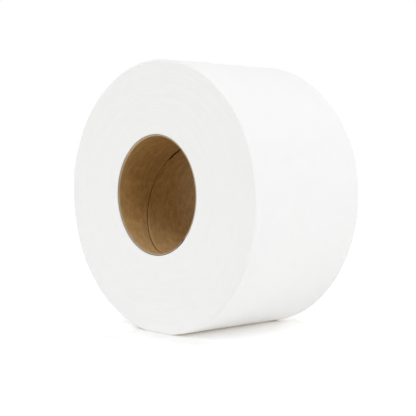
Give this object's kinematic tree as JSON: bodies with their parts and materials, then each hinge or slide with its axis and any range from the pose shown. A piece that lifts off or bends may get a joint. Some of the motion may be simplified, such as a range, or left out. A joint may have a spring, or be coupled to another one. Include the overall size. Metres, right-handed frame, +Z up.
{
  "type": "toilet paper roll",
  "caption": "Wide roll of white toilet paper wound on an open cardboard tube, lying on a soft flat on its side.",
  "frame": {"origin": "centre of the cardboard tube's bore, half-way along the roll", "axes": "+Y along the roll's axis, +Z up from the flat that the roll lies on, +X to the side"},
  "size_m": [0.1816, 0.095, 0.176],
  "materials": {
    "tissue": "soft matt, finely embossed",
    "kraft_board": "matt brown kraft"
  },
  "bodies": {
    "root": {"paper_roll": "tissue", "core_tube": "kraft_board"}
  },
  "joints": []
}
